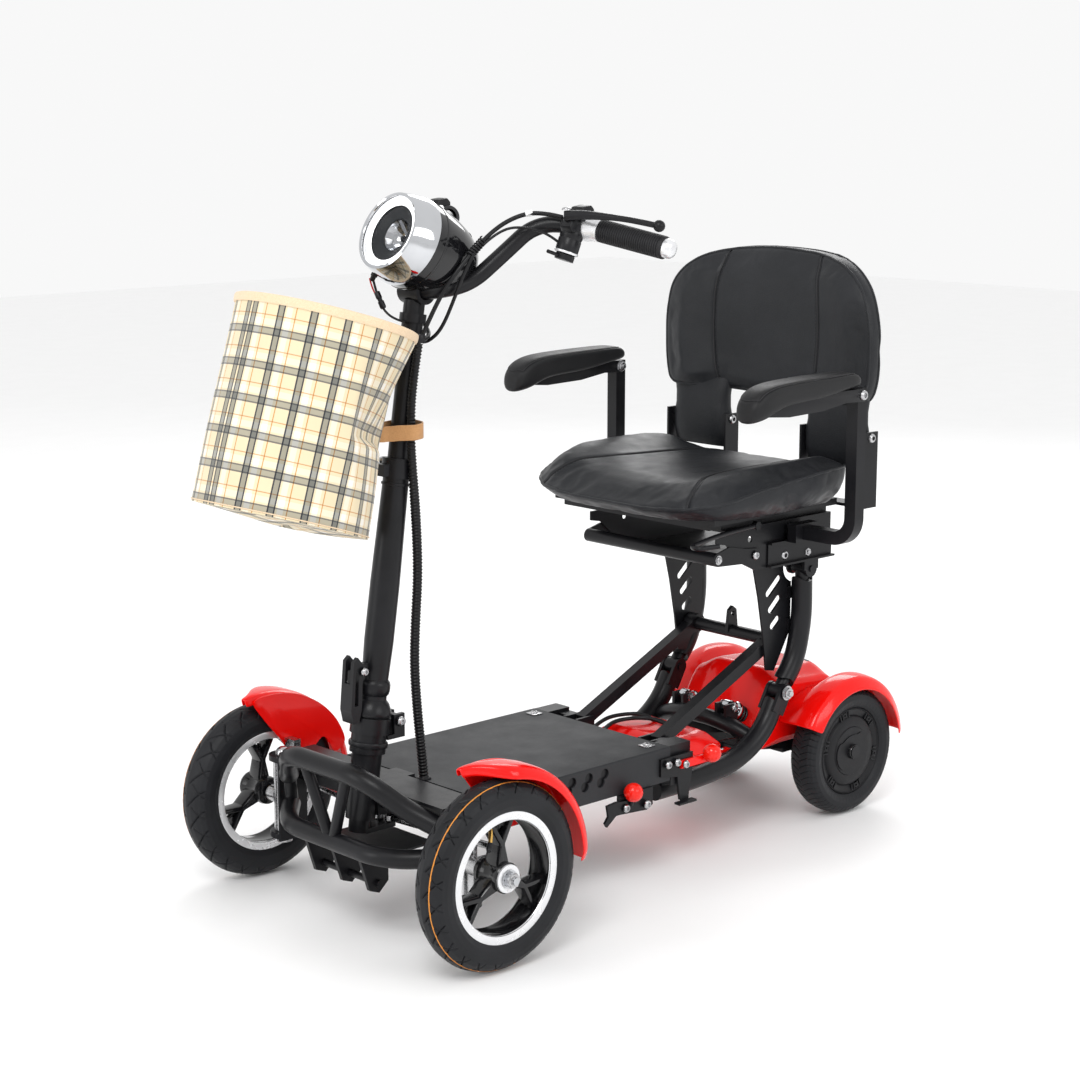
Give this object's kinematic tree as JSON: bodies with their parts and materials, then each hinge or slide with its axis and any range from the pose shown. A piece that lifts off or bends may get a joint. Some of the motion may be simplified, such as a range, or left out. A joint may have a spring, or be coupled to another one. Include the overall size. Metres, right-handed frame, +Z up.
{
  "type": "mobility scooter",
  "caption": "Folding mobility scooter with a deck, padded seat, folding tiller, basket and hub-motor rear wheels.",
  "frame": {"origin": "on the ground under the middle of the scooter's overall box", "axes": "+X forward, +Y to the rider's left, +Z up"},
  "size_m": [1.2086, 0.584, 0.9799],
  "materials": {
    "deck_black": "satin powder coat",
    "frame_black": "satin powder coat",
    "battery_black": "matt",
    "red_gloss": "gloss",
    "steel_bright": "zinc plated",
    "chrome": "mirror",
    "tyre_rubber": "rubber",
    "wheel_black": "gloss black with a bright lip",
    "hub_black": "satin",
    "seat_leather": "soft grain",
    "pad_plastic": "moulded grain",
    "grip_rubber": "ribbed",
    "black_plastic": "satin",
    "gloss_black": "gloss",
    "lens_clear": "clear",
    "basket_fabric": "woven plaid with a tan binding",
    "spring_black": "gloss",
    "conduit_black": "ribbed"
  },
  "bodies": {
    "chassis": {"deck_plate": "deck_black", "deck_frame": "frame_black", "battery_pack": "battery_black", "front_cross_beam": "frame_black", "front_bumper": "frame_black", "chassis_bolts": "steel_bright", "skid_bracket": "frame_black", "rear_side_tubes": "frame_black", "rear_arch": "frame_black", "deck_rear_brackets": "frame_black", "controller_cover": "red_gloss", "shock_rods": "chrome", "shock_springs": "spring_black"},
    "front_latch": {"front_latch_lever": "frame_black"},
    "rear_latch": {"rear_latch_lever": "red_gloss"},
    "steerer": {"steerer_tube": "frame_black"},
    "track_rod_left": {"tie_rod_left": "steel_bright"},
    "track_rod_right": {"tie_rod_right": "steel_bright"},
    "steering_knuckle_left": {"knuckle_left": "steel_bright", "front_fender_left": "red_gloss"},
    "steering_knuckle_right": {"knuckle_right": "steel_bright", "front_fender_right": "red_gloss"},
    "wheel_front_left": {"front_tyre_left": "tyre_rubber", "front_wheel_left": "wheel_black"},
    "wheel_front_right": {"front_tyre_right": "tyre_rubber", "front_wheel_right": "wheel_black"},
    "rear_unit": {"swing_frame": "frame_black", "rear_cowling": "red_gloss", "shock_bodies": "frame_black"},
    "wheel_rear_left": {"rear_tyre_left": "tyre_rubber", "rear_hub_left": "hub_black"},
    "wheel_rear_right": {"rear_tyre_right": "tyre_rubber", "rear_hub_right": "hub_black"},
    "tiller": {"column_tube": "frame_black", "conduit": "conduit_black"},
    "latch": {"tiller_latch": "frame_black"},
    "quick_release": {"clamp_lever": "frame_black"},
    "stem": {"stem_tube": "frame_black", "handlebar": "frame_black", "grips": "grip_rubber", "control_pods": "black_plastic", "headlight_housing": "gloss_black", "headlight_bezel": "chrome", "headlight_lens": "lens_clear", "basket": "basket_fabric", "bar_cables": "conduit_black"},
    "lever_left": {"brake_lever_left": "frame_black"},
    "lever_right": {"brake_lever_right": "frame_black"},
    "thumb_lever": {"throttle_lever": "black_plastic"},
    "posts": {"seat_posts": "frame_black"},
    "folding_braces": {"braces": "frame_black"},
    "seat_frame": {"seat_base": "frame_black", "armrest_frames": "frame_black"},
    "release": {"release_bar": "frame_black"},
    "arm_left": {"armrest_pad_left": "pad_plastic"},
    "arm_right": {"armrest_pad_right": "pad_plastic"},
    "seat_slide": {"seat_pan": "frame_black", "cushion": "seat_leather"},
    "slide_handle": {"slide_lever": "frame_black"},
    "seat_back": {"backrest": "seat_leather"}
  },
  "joints": [
    {"name": "steering", "type": "hinge", "parent": "chassis", "child": "steerer", "pos_m": [0.36227, 0, 0.19], "axis": [-0.1503, 0, 0.9886], "range_deg": [-28, 28]},
    {"name": "track_rod_left_pivot", "type": "hinge", "parent": "steerer", "child": "track_rod_left", "pos_m": [0.32587, 0.009, 0.14], "axis": [-0.1503, 0, 0.9886], "range_deg": [-28, 28]},
    {"name": "track_rod_right_pivot", "type": "hinge", "parent": "steerer", "child": "track_rod_right", "pos_m": [0.32587, -0.009, 0.14], "axis": [-0.1503, 0, 0.9886], "range_deg": [-28, 28]},
    {"name": "kingpin_left", "type": "hinge", "parent": "chassis", "child": "steering_knuckle_left", "pos_m": [0.3508, 0.197, 0.127], "axis": [0, 0, 1], "range_deg": [-28, 28]},
    {"name": "kingpin_right", "type": "hinge", "parent": "chassis", "child": "steering_knuckle_right", "pos_m": [0.3508, -0.197, 0.127], "axis": [0, 0, 1], "range_deg": [-28, 28]},
    {"name": "front_wheel_left_spin", "type": "hinge", "parent": "steering_knuckle_left", "child": "wheel_front_left", "pos_m": [0.3508, 0.2526, 0.127], "axis": [0, 1, 0], "continuous": true},
    {"name": "front_wheel_right_spin", "type": "hinge", "parent": "steering_knuckle_right", "child": "wheel_front_right", "pos_m": [0.3508, -0.2526, 0.127], "axis": [0, 1, 0], "continuous": true},
    {"name": "rear_suspension", "type": "hinge", "parent": "chassis", "child": "rear_unit", "pos_m": [-0.2852, 0, 0.13], "axis": [0, 1, 0], "range_deg": [0, 4], "stiffness_Nm_per_rad": 900, "springref_deg": -5.16, "deforming": ["shock_springs"]},
    {"name": "rear_wheel_left_spin", "type": "hinge", "parent": "rear_unit", "child": "wheel_rear_left", "pos_m": [-0.4872, 0.13, 0.1005], "axis": [0, 1, 0], "continuous": true},
    {"name": "rear_wheel_right_spin", "type": "hinge", "parent": "rear_unit", "child": "wheel_rear_right", "pos_m": [-0.4872, -0.13, 0.1005], "axis": [0, 1, 0], "continuous": true},
    {"name": "tiller_fold", "type": "hinge", "parent": "steerer", "child": "tiller", "pos_m": [0.3098, 0, 0.273], "axis": [0, -1, 0], "range_deg": [0, 16], "deforming": ["conduit"]},
    {"name": "tiller_latch_pivot", "type": "hinge", "parent": "tiller", "child": "latch", "pos_m": [0.3698, 0, 0.352], "axis": [0, -1, 0], "range_deg": [0, 50]},
    {"name": "clamp_lever_pivot", "type": "hinge", "parent": "tiller", "child": "quick_release", "pos_m": [0.2978, -0.029, 0.617], "axis": [0, 0, 1], "range_deg": [0, 75]},
    {"name": "stem_slide", "type": "slide", "parent": "tiller", "child": "stem", "axis": [-0.1503, 0, 0.9886], "range_m": [-0.025, 0.09], "deforming": ["conduit"]},
    {"name": "brake_left_pivot", "type": "hinge", "parent": "stem", "child": "lever_left", "pos_m": [0.1218, 0.142, 0.949], "axis": [0, 0, 1], "range_deg": [0, 7], "stiffness_Nm_per_rad": 1.5, "springref_deg": -2.86},
    {"name": "brake_right_pivot", "type": "hinge", "parent": "stem", "child": "lever_right", "pos_m": [0.1218, -0.142, 0.949], "axis": [0, 0, -1], "range_deg": [0, 7], "stiffness_Nm_per_rad": 1.5, "springref_deg": -2.86},
    {"name": "throttle_pivot", "type": "hinge", "parent": "stem", "child": "thumb_lever", "pos_m": [0.1148, 0.133, 0.898], "axis": [0.3047, -0.1219, -0.9446], "range_deg": [0, 30], "stiffness_Nm_per_rad": 0.2, "springref_deg": -5.73},
    {"name": "frame_fold", "type": "hinge", "parent": "chassis", "child": "posts", "pos_m": [-0.3572, 0, 0.213], "axis": [0, 1, 0], "range_deg": [0, 90]},
    {"name": "brace_pivot", "type": "hinge", "parent": "posts", "child": "folding_braces", "pos_m": [-0.3712, 0, 0.286], "axis": [0, -1, 0], "range_deg": [0, 116]},
    {"name": "seat_level", "type": "hinge", "parent": "posts", "child": "seat_frame", "pos_m": [-0.4072, 0, 0.399], "axis": [0, -1, 0], "range_deg": [0, 90]},
    {"name": "release_bar_pivot", "type": "hinge", "parent": "seat_frame", "child": "release", "pos_m": [-0.2702, 0, 0.44], "axis": [0, -1, 0], "range_deg": [0, 8]},
    {"name": "armrest_left_lift", "type": "hinge", "parent": "seat_frame", "child": "arm_left", "pos_m": [-0.3572, 0.246, 0.681], "axis": [0, -1, 0], "range_deg": [0, 90]},
    {"name": "armrest_right_lift", "type": "hinge", "parent": "seat_frame", "child": "arm_right", "pos_m": [-0.3572, -0.246, 0.681], "axis": [0, -1, 0], "range_deg": [0, 90]},
    {"name": "seat_fore_aft", "type": "slide", "parent": "seat_frame", "child": "seat_slide", "axis": [1, 0, 0], "range_m": [-0.02, 0.05]},
    {"name": "slide_lever_pivot", "type": "hinge", "parent": "seat_slide", "child": "slide_handle", "pos_m": [-0.2492, 0, 0.49], "axis": [0, -1, 0], "range_deg": [0, 5]},
    {"name": "backrest_fold", "type": "hinge", "parent": "seat_slide", "child": "seat_back", "pos_m": [-0.4492, 0, 0.603], "axis": [0, 1, 0], "range_deg": [0, 78]},
    {"name": "front_latch_pivot", "type": "hinge", "parent": "chassis", "child": "front_latch", "pos_m": [0.0148, 0, 0.118], "axis": [0, 1, 0], "range_deg": [0, 20]},
    {"name": "rear_latch_pivot", "type": "hinge", "parent": "chassis", "child": "rear_latch", "pos_m": [-0.1062, 0, 0.158], "axis": [0, -1, 0], "range_deg": [0, 18]}
  ],
  "couplings": [
    {"joint": "track_rod_left_pivot", "follows": "steering", "ratio": -1},
    {"joint": "track_rod_right_pivot", "follows": "steering", "ratio": -1},
    {"joint": "kingpin_left", "follows": "steering", "ratio": 1},
    {"joint": "kingpin_right", "follows": "steering", "ratio": 1},
    {"joint": "brace_pivot", "follows": "frame_fold", "ratio": 1.2889},
    {"joint": "seat_level", "follows": "frame_fold", "ratio": 1}
  ]
}
